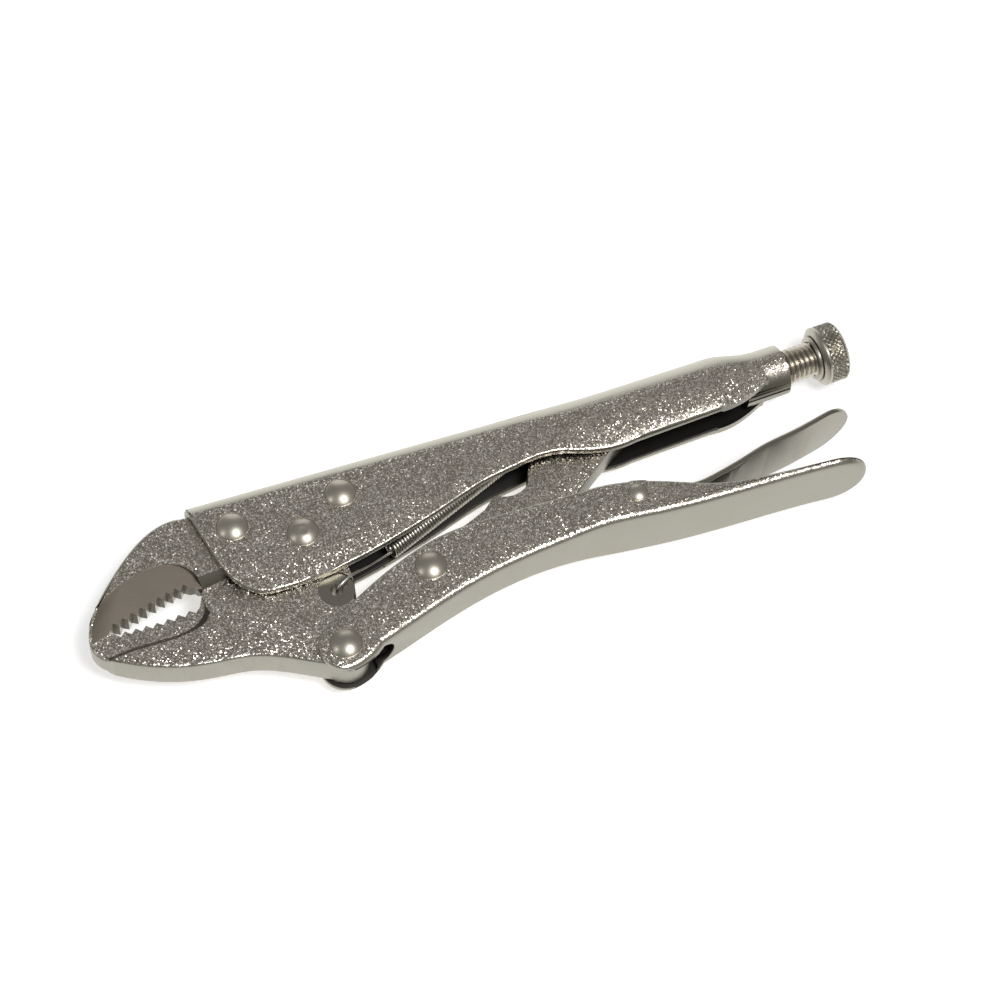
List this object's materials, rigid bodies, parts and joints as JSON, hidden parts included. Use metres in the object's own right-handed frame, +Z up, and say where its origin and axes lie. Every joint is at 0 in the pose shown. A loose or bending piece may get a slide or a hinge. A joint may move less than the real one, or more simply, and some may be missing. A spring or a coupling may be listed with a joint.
{
  "type": "locking pliers",
  "caption": "Curved-jaw locking pliers with toothed jaws, a wire cutter, folded sheet handles, a toggle link, a release lever and an adjusting screw.",
  "frame": {"origin": "under the middle of the tool's outline, on the surface that it lies on", "axes": "+X from the jaws back along the tool to the adjusting knob, +Y towards the fixed upper handle, +Z up along the rivets, with the tool lying on one side"},
  "size_m": [0.2234, 0.0614, 0.022],
  "materials": {
    "handle_plate": "nickel plate over a blasted surface, satin with a fine sparkle",
    "jaw_plate": "nickel plate over a blasted forging, smooth in the relief",
    "link_plate": "nickel plate over a blasted bar",
    "lever_plate": "nickel plate, smooth and satin",
    "rivet_plate": "nickel plate over a smooth pressed head",
    "screw_plate": "bright nickel plate over a rolled thread",
    "knob_plate": "nickel plate over a knurled knob",
    "spring_wire": "plain spring steel wire"
  },
  "bodies": {
    "fixed_handle": {"upper_handle": "handle_plate", "upper_jaw": "jaw_plate", "jaw_pivot_rivet": "rivet_plate", "front_jaw_rivet": "rivet_plate", "rear_jaw_rivet": "rivet_plate", "tension_spring": "spring_wire"},
    "swinging_jaw": {"lower_jaw": "jaw_plate"},
    "swinging_handle": {"lower_handle": "handle_plate", "handle_pivot_rivet": "rivet_plate", "link_pivot_rivet": "rivet_plate", "release_lever_rivet": "rivet_plate"},
    "link": {"toggle_link": "link_plate"},
    "lever": {"release_lever": "lever_plate"},
    "screw": {"adjusting_screw": "screw_plate"},
    "knob": {"adjusting_knob": "knob_plate"}
  },
  "joints": [
    {"name": "jaw_opening", "type": "hinge", "parent": "fixed_handle", "child": "swinging_jaw", "pos_m": [-0.04938, 0.01102, 0.011], "axis": [0, 0, 1], "range_deg": [0, 12.75]},
    {"name": "handle_swing", "type": "hinge", "parent": "swinging_jaw", "child": "swinging_handle", "pos_m": [-0.05048, -0.02348, 0.011], "axis": [0, 0, 1], "range_deg": [-52.7, 0], "deforming": ["tension_spring"]},
    {"name": "link_fold", "type": "hinge", "parent": "swinging_handle", "child": "link", "pos_m": [-0.02158, -0.01028, 0.011], "axis": [0, 0, 1], "range_deg": [0, 57.65]},
    {"name": "lever_press", "type": "hinge", "parent": "swinging_handle", "child": "lever", "pos_m": [0.03742, -0.01128, 0.011], "axis": [0, 0, 1], "range_deg": [-5.8, 0]},
    {"name": "screw_travel", "type": "slide", "parent": "fixed_handle", "child": "screw", "axis": [1, 0, 0], "range_m": [0, 0.015]},
    {"name": "knob_turn", "type": "hinge", "parent": "screw", "child": "knob", "pos_m": [0.10762, 0.01502, 0.011], "axis": [1, 0, 0], "range_deg": [0, 3601]}
  ],
  "couplings": [
    {"joint": "jaw_opening", "follows": "handle_swing", "ratio": -0.241},
    {"joint": "link_fold", "follows": "handle_swing", "ratio": -1.093},
    {"joint": "knob_turn", "follows": "screw_travel", "rad_per_m": 4188.8}
  ]
}
